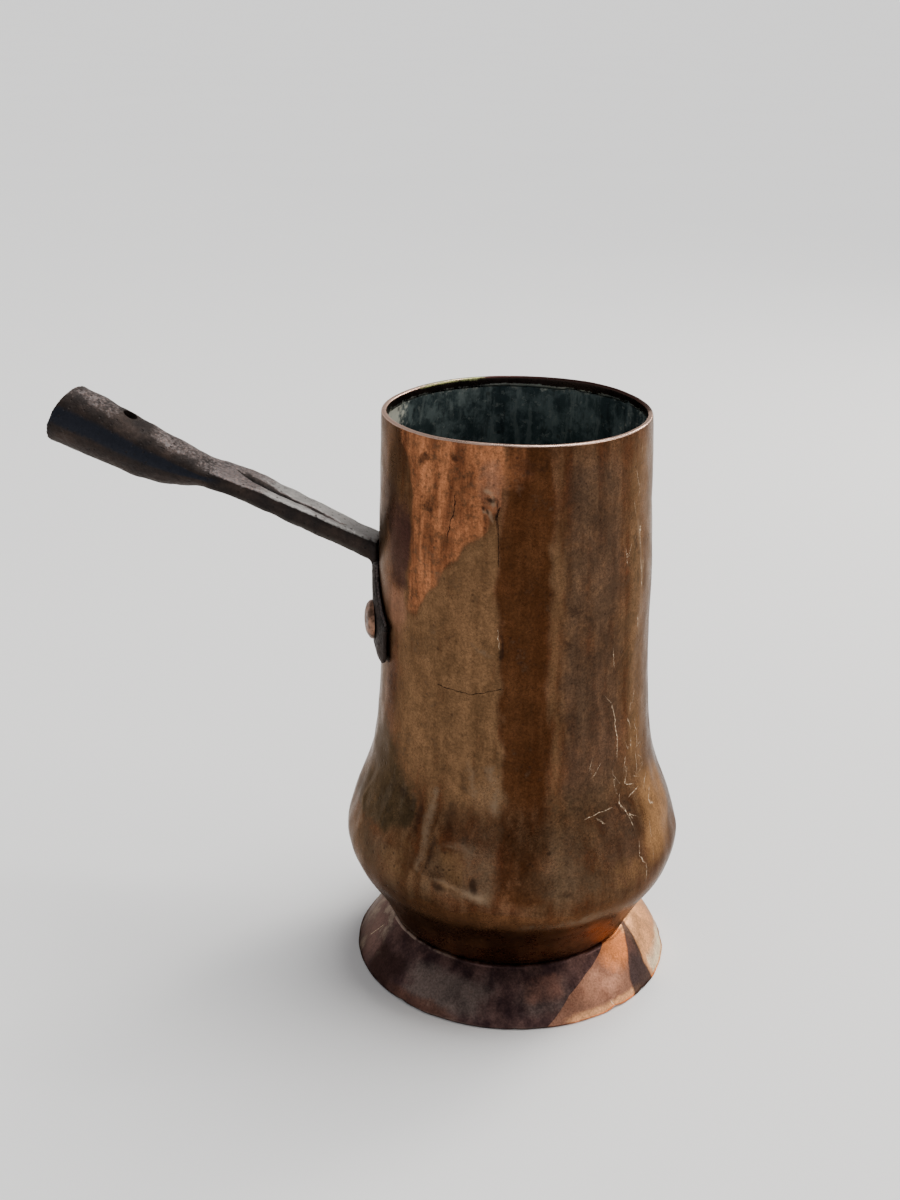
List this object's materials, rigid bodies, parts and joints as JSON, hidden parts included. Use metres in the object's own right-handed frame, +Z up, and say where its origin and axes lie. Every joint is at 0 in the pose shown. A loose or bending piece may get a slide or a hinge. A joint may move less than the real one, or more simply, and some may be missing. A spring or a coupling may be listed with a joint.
{
  "type": "copper chocolate pot",
  "caption": "Tall copper chocolate pot with a swollen belly on a flared foot ring and a riveted forged iron handle that ends in an open socket for a wooden grip.",
  "frame": {"origin": "on the table the pot stands on, under the middle of the pot's whole length (tip of the handle to the far side of the belly) and of its width; the pot's turning axis is at x = 0.0573 m, y = 0", "axes": "+Z up along the pot's turning axis; the handle leaves the body along -X and rises; +Y is the far side as the picture sees it"},
  "size_m": [0.2482, 0.1336, 0.2315],
  "materials": {
    "aged_copper": "tarnished brown copper, hammered and worn satin, tinned grey inside",
    "foot_copper": "darker rosy copper, satin",
    "tinned_copper": "dull grey tin over copper",
    "rivet_copper": "hammered copper",
    "forged_iron": "black forge scale, worn grey on top"
  },
  "bodies": {
    "root": {"body_shell": "aged_copper", "base_disc": "tinned_copper", "foot_ring": "foot_copper", "handle": "forged_iron", "rivet_front": "rivet_copper", "rivet_rear": "rivet_copper"}
  },
  "joints": []
}
